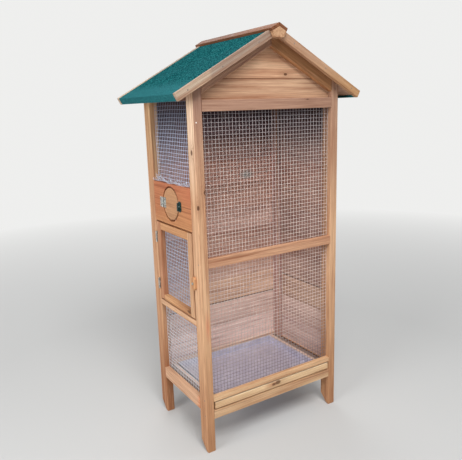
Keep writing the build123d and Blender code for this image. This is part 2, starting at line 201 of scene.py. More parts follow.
def pine(name, grain, tones=HONEY, seed=0.0, board=None, knots=(), stain_and_light=None, dirt_and_shade=None):
    """Stained pine: growth rings round a pith that wanders behind the board,
    streaks along the grain, and knots that the rings bend round. Knots are
    given by place and radius, and a few small ones fall by chance."""
    finish = Finish(name, roughness=0.6, specular=0.16)
    x, y, z = place = finish.place()
    if grain == "slope":
        side = abs(x)
        along = side * math.cos(PITCH) - z * math.sin(PITCH)
        wide = side * math.sin(PITCH) + z * math.cos(PITCH)
        thick = y
    else:
        along, wide, thick = {"x": (x, z, y), "y": (y, z, x), "z": (z, x, y)}[grain]
    number = board(finish, x, y, z) if board else x * 0.0
    luck = finish.chance(number + seed)
    more_luck = finish.chance(number * 3.0 + seed + 0.5)

    stretch = {"x": (0.6, 1, 1), "y": (1, 0.6, 1), "z": (1, 1, 0.6), "slope": (1, 1, 1)}[grain]
    knot = halo = x * 0.0
    for *middle, radius in knots:
        gaps = [(part - at) * shrink for part, at, shrink in zip(place, middle, stretch)]
        distance = sum((gap * gap for gap in gaps[1:]), gaps[0] * gaps[0]).math("SQRT")
        knot = knot.math("MAXIMUM", ((radius - distance) * (3.0 / radius)).clamp())
        halo = halo.math("MAXIMUM", (1.0 - distance / (radius * 4.5)).clamp())

    along = along + luck * 7.0 + seed
    middle, size = finish.cells((along * 2.6, wide * 8.0 + number * 3.7, 0.0))
    size = (size - 0.86).clamp() * 0.40
    knot = knot.math("MAXIMUM", ((size - middle) * 45.0).clamp())
    halo = halo.math("MAXIMUM", (1.0 - middle / (size * 5.0 + 0.0001)).clamp())

    wander = finish.noise((along * 1.3, number * 1.7, seed), 2.0) - 0.5
    ripple = finish.noise((along * 6.0, wide * 14.0, thick * 14.0 + number), 3.0) - 0.5
    across = wide + (luck - 0.5) * 0.09 + wander * 0.07 + ripple * 0.006
    deep = thick + PITH_DEPTH * (0.4 + more_luck) + ripple * 0.004
    ring = (across * across + deep * deep).math("SQRT") + halo * halo * 0.012
    late = (ring / RING_WIDTH).math("FRACT")
    late = (late * late * (1.0 - (late - 0.92).clamp() * 9.0)).clamp()
    streak = finish.noise((along * 2.6, wide * 95.0, thick * 95.0), 5.0, 0.65)
    fibre = finish.noise((along * 9.0, wide * 290.0, thick * 290.0), 3.0, 0.65)
    blotch = finish.noise((along * 2.6, wide * 8.0, thick * 8.0 + number), 2.0)

    pale, middling, dark = tones
    shade = (streak - 0.36) * 3.0 + (blotch - 0.5) * 1.5 + (luck - 0.5) * 0.5
    colour = finish.mix(shade.clamp(), pale, middling)
    # A multiplying colour: stain, and painted light and shade where a piece is given them.
    if stain_and_light:
        colour = finish.mix(1.0, colour, stain_and_light(finish, x, y, z), "MULTIPLY")
    colour = finish.mix((late * 0.42 + (fibre - 0.48) * 1.5).clamp() * 0.8, colour, dark)
    colour = finish.mix(((0.42 - fibre) * 4.0).clamp() * 0.6, colour, pale)
    colour = finish.mix(((streak - 0.57) * 3.6).clamp() * 0.7, colour, dark)
    colour = finish.mix((halo * 0.35).clamp(), colour, dark)
    colour = finish.mix(knot * 0.85, colour, tuple(part * 0.45 for part in dark))
    # Dirt, and painted shade where a piece is given it, darkens towards near black.
    if dirt_and_shade:
        colour = finish.mix(dirt_and_shade(finish, x, y, z), colour, (0.07, 0.035, 0.02))
    finish.feed("Base Color", colour)
    finish.feed("Roughness", 0.58 + late * 0.12 + (streak - 0.5) * 0.25)
    finish.relief(streak * 0.8 + late * 0.5 + fibre * 0.7 + knot * 0.4, 0.0006, 0.7)
    return finish.material


def dressed(node, material, body="housing", arris=0.0011):
    """A CAD node's shape with its arrises eased, in its place and its finish."""
    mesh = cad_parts[node].data.copy()
    mesh.materials.clear()
    mesh.materials.append(material)
    shape = bmesh.new()
    shape.from_mesh(mesh)
    bmesh.ops.remove_doubles(shape, verts=shape.verts, dist=2e-6)
    bmesh.ops.dissolve_limit(
        shape, angle_limit=math.radians(0.5), verts=shape.verts, edges=shape.edges
    )
    for face in shape.faces:
        face.smooth = True
        face.material_index = 0
    shape.to_mesh(mesh)
    shape.free()
    mesh.set_sharp_from_angle(angle=math.radians(35))
    piece = bpy.data.objects.new("dressed_" + node, mesh)
    bpy.context.scene.collection.objects.link(piece)
    ease = piece.modifiers.new("eased arrises", "BEVEL")
    ease.width = arris
    ease.segments = 2
    ease.limit_method = "ANGLE"
    ease.angle_limit = math.radians(35)
    ease.harden_normals = True
    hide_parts(node)
    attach(piece, body)


front_left_knots = (
    (-0.2840, FRONT_FACE, 0.8500, 0.0055),
    (LEFT_FACE, -0.1722, 1.0174, 0.0060),
    (-0.2590, FRONT_FACE, 0.8957, 0.0045),
    (LEFT_FACE, -0.1545, 0.5900, 0.0045),
)
SHADE_TOP = 1.25
# Painted shade for faces inside the cage, by height over SHADE_TOP: a touch of painted light low
# down, near black under the roof.
SHADE_INSIDE = (
    (0.20, (1.08, 1.06, 1.08)),
    (0.50, (1.05, 1.01, 1.05)),
    (0.64, (1.16, 1.10, 1.14)),
    (0.76, (1.00, 0.93, 0.98)),
    (0.80, (0.72, 0.68, 0.72)),
    (0.84, (0.25, 0.24, 0.32)),
    (0.90, (0.035, 0.045, 0.09)),
    (1.00, (0.030, 0.038, 0.075)),
)


def pink_streak_and_painted_light(finish, x, y, z):
    """A rosy run of heartwood low on the front, a rosier head, and painted light on the side face
    near the top.
    """
    run = (1.0 - abs(z - 0.455) * 16.0).clamp() * (1.0 - abs(x + 0.268) * 110.0).clamp()
    front = (FRONT_FACE + 0.0030 - y).past_zero()
    head = ((z - 0.84) * 3.2).clamp() * front
    colour = finish.mix(head, ruddy_foot(finish, x, y, z), (0.54, 0.53, 0.66))
    # Painted light: the side face paler and bluer near the top.
    painted_light_side = ((z - 0.86) * 4.5).clamp() * (1.0 - front)
    colour = finish.mix(painted_light_side, colour, (1.42, 1.82, 2.25))
    return finish.mix(run * 0.9, colour, (0.92, 0.55, 0.50))


def ruddy_foot(finish, x, y, z):
    """Posts are ruddier towards the ground, where the stain ran and soaked in."""
    return finish.mix(((0.62 - z) * 2.2).clamp(), NO_STAIN, (0.73, 0.62, 0.54))


def rosy_head(finish, x, y, z):
    colour = ruddy_foot(finish, x, y, z)
    return finish.mix(((z - 0.70) * 2.2).clamp(), colour, (0.66, 0.68, 0.80))


# Painted light: the post paler towards the top, over its ruddier foot.
def painted_light_head(finish, x, y, z):
    colour = ruddy_foot(finish, x, y, z)
    return finish.mix(((z - 0.80) * 3.0).clamp(), colour, (1.08, 1.25, 1.20))


POST_INSIDE_X = 0.2570
POST_INSIDE_Y = 0.1235


def shaded_head(finish, x, y, z):
    """Painted shade on the faces inside the cage, as on the boards that they meet."""
    inside = (POST_INSIDE_Y - y).past_zero() + (POST_INSIDE_X - x).past_zero()
    dark = finish.ramp(z / SHADE_TOP, SHADE_INSIDE)
    dark = finish.mix(1.0, dark, (0.62, 0.64, 0.98), "MULTIPLY")
    return finish.mix(inside.clamp(), rosy_head(finish, x, y, z), dark)


dressed(
    "front_left_post",
    pine("front_left_pine", "z", seed=1.3, knots=front_left_knots, stain_and_light=pink_streak_and_painted_light),
)
other_posts = {
    "front_right_post": rosy_head,
    "rear_left_post": painted_light_head,
    "rear_right_post": shaded_head,
}
for number, (post, stain_and_light) in enumerate(other_posts.items()):
    wood = pine(post + "_pine", "z", seed=3.4 + number * 2.1, stain_and_light=stain_and_light)
    dressed(post, wood)


# Rails: level members between the posts at the base, round the tray, at half
# height and under the gables, of the same pine. Those under the eaves are
# planed to the slope of the roof.
def front_or_rear(finish, x, y, z):
    return y.math("SIGN")


def left_or_right(finish, x, y, z):
    return x.math("SIGN")


def tinted(colour):
    return lambda finish, x, y, z: colour


rail_tints = {
    "front_mid_rail": (0.86, 0.78, 0.80),
    "front_tray_rail": (1.10, 1.16, 1.12),
    "front_base_rail": (1.08, 1.20, 1.20),
}
for number, (rail, tint) in enumerate(rail_tints.items()):
    wood = pine(rail + "_pine", "x", seed=11.0 + number * 1.7, stain_and_light=tinted(tint))
    dressed(rail, wood)


REAR_BASE_INSIDE = 0.1600
REAR_TOP_INSIDE = 0.1640
RIGHT_BASE_INSIDE = 0.2700


def pale_inside(finish, x, y, z):
    """The rail behind the tray is paler and rosier on its inner face."""
    inside = (REAR_BASE_INSIDE - y).past_zero()
    return finish.mix(inside, (0.95, 0.90, 0.86), (1.32, 1.66, 2.30))


dressed(
    "rear_base_rail",
    pine("rear_base_pine", "x", seed=16.1, stain_and_light=pale_inside),
)


def painted_shade_at_rear(finish, x, y, z):
    """Painted shade on the side of the rear rail that faces the cage; both rails darker overall."""
    inside = (y * 200.0).clamp() * (REAR_TOP_INSIDE - y).past_zero()
    return finish.mix(inside, (0.72, 0.68, 0.69), (0.07, 0.07, 0.10))


dressed(
    "top_rails",
    pine("top_rail_pine", "x", ROSY, 19.4, front_or_rear, stain_and_light=painted_shade_at_rear),
)


def reddish_front_end(finish, x, y, z):
    return finish.mix(((-0.128 - y) * 45.0).clamp() * 0.8, (0.90, 0.87, 0.92), (0.92, 0.56, 0.44))


dressed(
    "left_base_rail",
    pine("left_base_pine", "y", seed=23.0, stain_and_light=reddish_front_end),
)


def painted_shade_inside(finish, x, y, z):
    """Painted shade on the inner face, above the tray."""
    return finish.mix((RIGHT_BASE_INSIDE - x).past_zero(), NO_STAIN, (0.22, 0.15, 0.14))


dressed(
    "right_base_rail",
    pine("right_base_pine", "y", seed=25.0, stain_and_light=painted_shade_inside),
)
dressed("door_sill", pine("door_sill_pine", "y", seed=26.9))
# The flank top rails carry painted shade: their colour is multiplied by a dark tint.
dressed(
    "flank_top_rails",
    pine(
        "flank_top_pine",
        "y",
        ROSY,
        31.0,
        left_or_right,
        stain_and_light=tinted((0.42, 0.36, 0.34)),
    ),
)


# Boarded walls and gables: level pine boards with a V groove at each joint.
# The boards differ in tone and figure, dust lies in the joints, and painted
# shade darkens the inside faces, most under the roof and on the gables.
def boards_from(bottom, cover, ends):
    """Each board's number. With ends, those at the front and rear differ."""

    def number(finish, x, y, z):
        return ((z - bottom) / cover).math("FLOOR") + ends * y.math("SIGN")

    return number


def joint_dirt(bottom, cover, open_joint):
    """Dust in each joint, thickest in the one that stands open."""

    def amount(finish, x, y, z):
        count = (z - bottom) / cover + 0.5
        gap = abs(count.math("FRACT") - 0.5) * cover
        near = abs(count.math("FLOOR") - open_joint)
        spread = 0.0016 + (1.0 - near).clamp() * 0.0012
        speck = finish.noise((x * 40.0, y * 40.0, z * 90.0), 3.0)
        faint = 0.14 + (1.0 - near).clamp() * 0.66
        return (1.5 - gap / spread).clamp() * faint * (0.6 + speck * 0.8)

    return amount


def wall_tones_and_painted_shade(bottom, top, tones, depth_inside):
    """A tone for each board, from the lowest to the highest, painted shade on
    the inside face, darkest under the roof, and a small painted highlight on it."""
    stops = [(number / len(tones), tone) for number, tone in enumerate(tones)]

    def colour(finish, x, y, z):
        board_tone = finish.ramp((z - bottom) / (top - bottom), stops, "CONSTANT")
        # Painted shade on the inside face, by height.
        shade = finish.ramp(z / SHADE_TOP, SHADE_INSIDE)
        inside = depth_inside(x, y).past_zero()
        shaded = finish.mix(1.0, board_tone, shade, "MULTIPLY")
        # A painted highlight: a small pale blue-green patch on the inside face.
        painted_highlight = (1.0 - abs(x - 0.132) * 26.0).clamp() * (1.0 - abs(z - 0.886) * 44.0).clamp()
        shaded = finish.mix(painted_highlight * 1.6, shaded, (0.85, 1.25, 1.45))
        outside = finish.mix(0.75, board_tone, (1.02, 0.90, 0.66))
        return finish.mix(inside, outside, shaded)

    return colour


WALL_COVER = 0.095
REAR_WALL_INSIDE = 0.1655
RIGHT_WALL_INSIDE = 0.2830
GABLE_COVER = 0.075
GABLE_JOINT = 1.234
FRONT_GABLE_INSIDE = -0.1725
REAR_GABLE_INSIDE = 0.1455
PALE_ROSE = ((0.74, 0.53, 0.43), (0.46, 0.285, 0.225), (0.22, 0.105, 0.085))
# A tone for each board, lowest first; the lowest board's paler, bluer tone is painted light.
WALL_TONES_AND_LIGHT = (
    (1.26, 1.36, 1.46),
    (1.10, 1.12, 1.14),
    (1.06, 1.00, 0.84),
    (0.96, 0.90, 0.84),
    (0.88, 0.78, 0.72),
    (0.98, 0.91, 0.89),
    (0.98, 0.86, 0.80),
    (1.10, 0.94, 0.88),
    (0.92, 0.84, 0.84),
    (1.00, 0.92, 0.92),
    (0.92, 0.86, 0.88),
)
# Painted shade on the right wall: its boards darker towards the top.
RIGHT_SHADE_SHARES = (0.86, 0.84, 0.78, 0.72, 0.68, 0.64, 0.60, 0.58, 0.56, 0.60, 0.60)
RIGHT_SHADED_TONES = [
    tuple(part * share for part in tone) for tone, share in zip(WALL_TONES_AND_LIGHT, RIGHT_SHADE_SHARES)
]
for wall, grain, tones, seed, ends, depth_inside, open_joint in (
    ("rear_wall", "x", WALL_TONES_AND_LIGHT, 37.0, 2.0, lambda x, y: REAR_WALL_INSIDE - y, 2),
    ("right_wall", "y", RIGHT_SHADED_TONES, 43.0, 0.0, lambda x, y: RIGHT_WALL_INSIDE - x, 3),
):
    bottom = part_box(wall)[0].z
    boards = boards_from(bottom, WALL_COVER, ends)
    stain_and_light = wall_tones_and_painted_shade(bottom, bottom + WALL_COVER * len(tones), tones, depth_inside)
    dirt_and_shade = joint_dirt(bottom, WALL_COVER, open_joint)
    wood = pine(wall + "_pine", grain, PALE_ROSE, seed, boards, stain_and_light=stain_and_light, dirt_and_shade=dirt_and_shade)
    dressed(wall, wood, arris=0.0005)


def gable_bands_and_painted_shade(finish, x, y, z):
    """Ruddy bands along the gable's boards, darker below the joint, a dark line at the joint, and
    painted shade on the inner faces.
    """
    band = finish.noise((x * 5.0, y, z * 46.0), 3.0, 0.6)
    colour = finish.mix(((band - 0.45) * 3.0).clamp(), (1.14, 1.20, 1.30), (0.90, 0.84, 0.84))
    colour = finish.mix((GABLE_JOINT - z).past_zero() * 0.8, colour, (0.78, 0.78, 0.84))
    line = (1.0 - abs(z - GABLE_JOINT) * 380.0).clamp()
    colour = finish.mix(line * 0.9, colour, (0.26, 0.18, 0.14))
    # Painted shade: the inner faces near black.
    inside = (REAR_GABLE_INSIDE - y).past_zero() * (y - FRONT_GABLE_INSIDE).past_zero()
    return finish.mix(inside, colour, (0.05, 0.05, 0.08))


dressed(
    "gable_boards",
    pine(
        "gable_pine",
        "x",
        HONEY,
        51.0,
        boards_from(GABLE_JOINT, GABLE_COVER, 2.0),
        knots=((0.070, -0.1775, 1.248, 0.005),),
        stain_and_light=gable_bands_and_painted_shade,
    ),
    arris=0.0005,
)


# Rafters, barge boards and the ridge: sloping members that frame the gables,
# flat boards that close the roof's ends, the beam that they meet at, and a
# cap of two walnut brown planks over it.
def each_quarter(finish, x, y, z):
    return x.math("SIGN") + 3.0 * y.math("SIGN")


RIDGE_HEIGHT = 1.390
WALNUT = ((0.27, 0.105, 0.046), (0.145, 0.052, 0.023), (0.06, 0.021, 0.011))


# Painted shade: the right rafters browner and darker than the left.
def darker_right(finish, x, y, z):
    return finish.mix((x * 200.0).clamp(), (0.90, 0.84, 0.82), (0.86, 0.70, 0.46))


def two_toned_and_painted_shade(finish, x, y, z):
    """Weathered brown near the ridge on the left, paler towards its eave; painted shade over the
    right barge and along the lower part of both.
    """
    pale = ((abs(x) - 0.235) * 90.0).clamp()
    left = finish.mix(pale, (0.55, 0.71, 0.96), (0.70, 0.88, 1.10))
    # Painted shade along the lower part of each barge.
    below = (1.372 - abs(x) * math.tan(PITCH) - z) * 300.0
    # Painted shade over the right barge.
    right = finish.mix(((1.29 - z) * 12.0).clamp(), (0.62, 0.60, 0.64), (0.68, 0.63, 0.52))
    colour = finish.mix((x * 200.0).clamp(), left, right)
    return finish.mix(below.clamp() * 0.25, colour, (0.62, 0.56, 0.50))


dressed(
    "rafters",
    pine("rafter_pine", "slope", ROSY, 57.0, each_quarter, stain_and_light=darker_right),
)
dressed(
    "barge_boards",
    pine("barge_pine", "slope", HONEY, 61.0, each_quarter, stain_and_light=two_toned_and_painted_shade),
)
dressed(
    "ridge_beam",
    pine("ridge_beam_pine", "y", seed=67.0, stain_and_light=tinted((0.76, 0.74, 0.72))),
)
dressed(
    "ridge_cap", pine("ridge_cap_pine", "y", WALNUT, 71.0, left_or_right)
)
dressed(
    "roof_panels", pine("roof_panel_pine", "y", ROSY, 77.0, left_or_right)
)


# Roof felt: bitumen felt faced with green mineral granules, laid over each
# panel and folded down over its eave edge.
def mineral_felt():
    finish = Finish("green_mineral_felt", roughness=0.95, specular=0.0)
    x, y, z = finish.place()
    along, down = y, abs(x) * 1.14
    grit, chance = finish.cells((x * 560.0, y * 560.0, z * 560.0), "3D")
    coarse = finish.noise((along * 130.0, down * 130.0, z * 130.0), 3.0, 0.7)
    patch = finish.noise((along * 14.0, down * 9.0, z * 2.0), 3.0)
    fleck = finish.noise((along * 170.0, down * 170.0, z * 170.0), 3.0, 0.75)
    tone = (chance * 0.3 + (coarse - 0.5) * 1.6 + (fleck - 0.5) * 6.0 + 0.30).clamp()
    colour = finish.mix(tone, (0.002, 0.030, 0.038), (0.020, 0.172, 0.178))
    colour = finish.mix(((patch - 0.42) * 2.0).clamp() * 0.4, colour, (0.030, 0.100, 0.120))
    pale = ((fleck - 0.60) * 9.0).clamp()
    colour = finish.mix(pale * 0.40, colour, (0.12, 0.28, 0.25))
    eave = ((1.235 - z) * 40.0).clamp()
    colour = finish.mix(eave * 0.6, colour, (0.034, 0.165, 0.182))
    finish.feed("Base Color", colour)
    finish.relief((1.0 - grit) * 0.7 + coarse * 0.6, 0.0008, 0.8)
    return finish.material


dressed("roof_felt", mineral_felt(), arris=0.0007)


# Welded mesh: galvanised wires about 1 mm thick, welded square 12.7 mm apart,
# one sheet on the front, two on the left flank and one on the door. The sheets
# are stapled to the backs of the rails and bow a little between them.
WIRE = 0.0011
WIRE_RADIUS = 0.00066
MESH_PITCH = 0.0127


class Growth(Nodes):
    """A Geometry Nodes tree in the making, with named inputs."""

    def __init__(self, name, inputs):
        super().__init__(bpy.data.node_groups.new(name, "GeometryNodeTree"))
        face = self.tree.interface
        face.new_socket("Geometry", in_out="INPUT", socket_type="NodeSocketGeometry")
        face.new_socket("Geometry", in_out="OUTPUT", socket_type="NodeSocketGeometry")
        self.names = {}
        for label, (kind, value) in inputs.items():
            socket = face.new_socket(label, in_out="INPUT", socket_type=kind)
            if value is not None:
                socket.default_value = value
            self.names[label] = socket.identifier
        self.given = self.put("NodeGroupInput").outputs
        self.result = self.put("NodeGroupOutput")

    def vector(self, operation, first, second=(0.0, 0.0, 0.0)):
        sockets = {0: first, 1: second}
        return self.put("ShaderNodeVectorMath", {"operation": operation}, sockets).outputs[0]

    def scaled(self, vector, factor):
        sockets = {0: vector, "Scale": factor}
        return self.put("ShaderNodeVectorMath", {"operation": "SCALE"}, sockets).outputs[0]

    def facing(self):
        """The way that each place faces, as grow() is told it."""
        settings = {"data_type": "FLOAT_VECTOR"}
        return self.put("GeometryNodeInputNamedAttribute", settings, {"Name": "facing"}).outputs[0]

    def turned(self, axis, vector, before=None, pivot="AUTO"):
        """The turn that brings an axis to a vector, after another turn if given."""
        sockets = {"Vector": vector} | ({"Rotation": before} if before else {})
        settings = {"axis": axis, "pivot_axis": pivot}
        return self.put("FunctionNodeAlignRotationToVector", settings, sockets).outputs[0]

    def placed(self, thing, turn, scale):
        """The thing at each of the places that grow() is given."""
        sockets = {"Points": self.given["Geometry"], "Instance": thing}
        sockets |= {"Rotation": turn, "Scale": scale}
        return self.put("GeometryNodeInstanceOnPoints", None, sockets).outputs[0]

    def real(self, geometry):
        return self.put("GeometryNodeRealizeInstances", None, {0: geometry}).outputs[0]

    def tubes(self, curves):
        """A six-sided tube with closed ends along each curve."""
        sockets = {"Resolution": 6, "Radius": self.given["Radius"]}
        ring = self.put("GeometryNodeCurvePrimitiveCircle", None, sockets).outputs[0]
        sockets = {"Curve": curves, "Profile Curve": ring, "Fill Caps": True}
        return self.put("GeometryNodeCurveToMesh", None, sockets).outputs[0]

    def smooth(self, geometry):
        return self.put("GeometryNodeSetShadeSmooth", None, {0: geometry}).outputs[0]

    def finish(self, geometry):
        """Ends the tree: instances made real, with the given material."""
        sockets = {"Geometry": self.real(geometry), "Material": self.given["Material"]}
        painted = self.put("GeometryNodeSetMaterial", None, sockets).outputs[0]
        self.tree.links.new(painted, self.result.inputs[0])

    def grow(self, name, values, points=()):
        """A plain mesh object grown with these values, from places and facings."""
        seed_mesh = bpy.data.meshes.new(name + "_seed")
        seed_mesh.from_pydata([place for place, facing in points], [], [])
        if points:
            facings = seed_mesh.attributes.new("facing", "FLOAT_VECTOR", "POINT")
            for item, (place, facing) in zip(facings.data, points):
                item.vector = facing
        holder = bpy.data.objects.new(name + "_seed", seed_mesh)
        bpy.context.scene.collection.objects.link(holder)
        modifier = holder.modifiers.new("growth", "NODES")
        modifier.node_group = self.tree
        for label, value in values.items():
            modifier[self.names[label]] = value
        graph = bpy.context.evaluated_depsgraph_get()
        mesh = bpy.data.meshes.new_from_object(holder.evaluated_get(graph))
        mesh.name = name
        bpy.data.objects.remove(holder)
        piece = bpy.data.objects.new(name, mesh)
        bpy.context.scene.collection.objects.link(piece)
        return piece


def welded_mesh_tree():
    vector = "NodeSocketVector"
    tree = Growth(
        "welded_mesh",
        {
            "Corner": (vector, (0, 0, 0)),
            "Across": (vector, (1, 0, 0)),
            "Up": (vector, (0, 0, 1)),
            "Behind": (vector, (0, 0.001, 0)),
            "Overhang": ("NodeSocketFloat", 0.005),
            "Uprights": ("NodeSocketInt", 2),
            "Crosswires": ("NodeSocketInt", 2),
            "Radius": ("NodeSocketFloat", 0.0005),
            "Bow": ("NodeSocketFloat", 0.001),
            "Material": ("NodeSocketMaterial", None),
        },
    )
    given = tree.given

    def row(start, step_to, count, run):
        """Wires side by side: from start to step_to, each with this run."""
        end = tree.vector("ADD", start, step_to)
        sockets = {"Count": count, "Start Location": start, "Offset": end}
        line = tree.put("GeometryNodeMeshLine", {"mode": "END_POINTS"}, sockets)
        tail = tree.scaled(tree.vector("NORMALIZE", run), given["Overhang"])
        back = tree.vector("SUBTRACT", (0, 0, 0), tail)
        fore = tree.vector("ADD", run, tail)
        wire = tree.put("GeometryNodeCurvePrimitiveLine", None, {"Start": back, "End": fore})
        fine = tree.put("GeometryNodeResampleCurve", None, {"Curve": wire.outputs[0], "Count": 28})
        sockets = {"Points": line.outputs[0], "Instance": tree.tubes(fine.outputs[0])}
        return tree.put("GeometryNodeInstanceOnPoints", None, sockets).outputs[0]

    uprights = row(given["Corner"], given["Across"], given["Uprights"], given["Up"])
    behind = tree.vector("ADD", given["Corner"], given["Behind"])
    crosswires = row(behind, given["Up"], given["Crosswires"], given["Across"])
    both = tree.put("GeometryNodeJoinGeometry")
    tree.tree.links.new(crosswires, both.inputs[0])
    tree.tree.links.new(uprights, both.inputs[0])
    position = tree.put("GeometryNodeInputPosition").outputs[0]
    waves = tree.put("ShaderNodeTexNoise", None, {"Vector": position, "Scale": 9.0, "Detail": 1.0})
    sway = tree.vector("SUBTRACT", waves.outputs["Color"], (0.5, 0.5, 0.5))
    bow = tree.scaled(sway, given["Bow"])
    sockets = {"Geometry": tree.real(both.outputs[0]), "Offset": bow}
    bent = tree.put("GeometryNodeSetPosition", None, sockets).outputs[0]
    tree.finish(tree.smooth(bent))
    return tree


# Painted light and shade on the flank's wires, by height: whitish low down, bluish between, dark
# under the roof.
FLANK_WIRE_LIGHT_AND_SHADE = (
    (0.30, (0.92, 0.95, 1.00)),
    (0.37, (0.54, 0.66, 0.84)),
    (0.60, (0.54, 0.66, 0.84)),
    (0.70, (0.66, 0.74, 0.94)),
    (0.84, (0.62, 0.70, 0.90)),
    (0.91, (0.18, 0.20, 0.29)),
)


def galvanised_wire():
    """Zinc with painted shade up under the roof and down at the tray, and a run
    of painted light and shade on the flank."""
    finish = Finish("galvanised_wire", roughness=0.5, metallic=0.15)
    x, y, z = finish.place()
    dull = finish.speckle(60.0, 3.0, 0.6)
    colour = finish.mix(((dull - 0.3) * 2.5).clamp(), (0.57, 0.48, 0.44), (0.87, 0.77, 0.70))
    # Painted shade: the wires darker up under the roof and down at the tray.
    colour = finish.mix(((z - 0.90) * 3.6).clamp(), colour, (0.30, 0.28, 0.31))
    colour = finish.mix(((0.42 - z) * 6.0).clamp() * 0.9, colour, (0.15, 0.125, 0.14))
    flank = ((-0.262 - x) * 400.0).clamp()
    colour = finish.mix(flank * 0.85, colour, finish.ramp(z / SHADE_TOP, FLANK_WIRE_LIGHT_AND_SHADE))
    finish.feed("Base Color", colour)
    finish.feed("Roughness", 0.32 + dull * 0.3)
    finish.relief(dull, 0.0002, 0.4)
    return finish.material


wire_finish = galvanised_wire()
mesh_tree = welded_mesh_tree()


def welded_sheet(name, body, behind, bow=0.0011):
    """One sheet, grown where its uprights and crosswires are in the frame."""
    upright_low, upright_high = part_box(name + "_uprights")
    cross_low, cross_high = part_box(name + "_crosswires")
    across = Vector((0, 1, 0)) if behind.x else Vector((1, 0, 0))
    half = WIRE / 2
    first = upright_low.dot(across) + half
    last = upright_high.dot(across) - half
    low = cross_low.z + half
    high = cross_high.z - half
    corner = across * first + Vector((0, 0, low))
    corner += Vector(abs(part) for part in behind) * (upright_low + upright_high).dot(behind) / 2
    values = {
        "Corner": corner,
        "Across": across * (last - first),
        "Up": Vector((0, 0, high - low)),
        "Behind": behind * (WIRE * 0.86),
        "Overhang": cross_high.dot(across) - last,
        "Uprights": round((last - first) / MESH_PITCH) + 1,
        "Crosswires": round((high - low) / MESH_PITCH) + 1,
        "Radius": WIRE_RADIUS,
        "Bow": bow,
        "Material": wire_finish,
    }
    piece = mesh_tree.grow(name + "_wires", values)
    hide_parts(name + "_uprights", name + "_crosswires")
    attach(piece, body)


inwards_from_front = Vector((0, 1, 0))
inwards_from_flank = Vector((1, 0, 0))
welded_sheet("front_mesh", "housing", inwards_from_front)
welded_sheet("lower_mesh", "housing", inwards_from_flank, 0.003)
welded_sheet("upper_mesh", "housing", inwards_from_flank, 0.004)
welded_sheet("door_mesh", "side_door", inwards_from_flank, 0.004)


# Side door: two upright stiles with two rails between them, of the same pine
# in a more orange stain, hung at the rear on two butt hinges.
ORANGE = ((0.70, 0.40, 0.20), (0.46, 0.205, 0.09), (0.22, 0.075, 0.03))
door_low, door_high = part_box("door_stiles")
door_middle = (door_low + door_high) / 2


def front_or_rear_stile(finish, x, y, z):
    return (y - door_middle.y).math("SIGN")


def upper_or_lower(finish, x, y, z):
    return (z - door_middle.z).math("SIGN")


def redder_rear_stile(finish, x, y, z):
    rear = ((y - door_middle.y) * 200.0).clamp()
    return finish.mix(rear, (0.97, 1.05, 1.22), (0.82, 0.75, 0.86))


dressed(
    "door_stiles",
    pine(
        "door_stile_pine", "z", ORANGE, 83.0, front_or_rear_stile, stain_and_light=redder_rear_stile
    ),
    "side_door",
)
dressed(
    "door_rails",
    pine("door_rail_pine", "y", ORANGE, 89.0, upper_or_lower),
    "side_door",
)


# Hatch: a wide red-brown board across the flank with a round hole, and the
# paler disc cut from it that closes the hole. The board is redder along its
# top and a shake runs in from its front end.
RUSSET = ((0.52, 0.210, 0.104), (0.34, 0.115, 0.054), (0.18, 0.050, 0.024))
TAN = ((0.54, 0.285, 0.145), (0.34, 0.158, 0.078), (0.16, 0.060, 0.027))
SHAKE_HEIGHT = 0.8397
hatch_low, hatch_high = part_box("hatch_board")


def redder_above(finish, x, y, z):
    drift = finish.noise((y * 9.0, z * 14.0, x), 2.0) - 0.5
    height = (z - hatch_low.z) / (hatch_high.z - hatch_low.z) + drift * 1.3
    return finish.mix(height.clamp(), (1.12, 1.30, 1.15), (1.0, 0.86, 0.84))


def shake(finish, x, y, z):
    drift = finish.noise((y * 30.0, 0.0, 0.0), 2.0) - 0.5
    line = (1.0 - abs(z - SHAKE_HEIGHT + drift * 0.006) / 0.0018).clamp()
    return line * ((-0.086 - y) * 120.0).clamp() * 0.8


dressed(
    "hatch_board",
    pine("hatch_board_pine", "y", RUSSET, 97.0, stain_and_light=redder_above, dirt_and_shade=shake),
)
dressed("hatch_disc", pine("hatch_disc_pine", "y", TAN, 103.0), "hatch")


# Hinges and pins: small butt hinges of dull zinc plated steel, their leaves
# pressed from sheet and rolled round a pin, and the pins of the fastenings.
def zinc_plate():
    finish = Finish("dull_zinc_plate", roughness=0.4, metallic=0.8)
    cloud = finish.speckle(180.0, 3.0, 0.6)
    bright = ((cloud - 0.35) * 3.3).clamp()
    finish.feed("Base Color", finish.mix(bright, (0.16, 0.17, 0.16), (0.66, 0.65, 0.60)))
    finish.feed("Roughness", 0.3 + cloud * 0.25)
    finish.relief(cloud, 0.0001, 0.3)
    return finish.material


zinc = zinc_plate()
for node, body in {
    "door_frame_leaves": "housing",
    "door_leaves": "side_door",
    "hatch_board_leaf": "housing",
    "hatch_disc_leaf": "hatch",
    "fastener_pins": "housing",
}.items():
    dressed(node, zinc, body, arris=0.00025)


# Fastenings that turn: a round-ended pine button for the door, and a moulded
# dark green thumb turn for the hatch.
dressed("door_button", pine("button_pine", "z", ORANGE, 107.0), "button")


def dark_green_moulding():
    finish = Finish("dark_green_moulding", roughness=0.25)
    cloud = finish.speckle(90.0)
    grain = finish.speckle(900.0)
    finish.feed("Base Color", finish.mix(cloud, (0.002, 0.014, 0.013), (0.007, 0.045, 0.042)))
    finish.feed("Roughness", 0.16 + cloud * 0.2)
    finish.relief(grain, 0.0001, 0.3)
    return finish.material


dressed("hatch_catch", dark_green_moulding(), "thumb_turn", arris=0.0009)


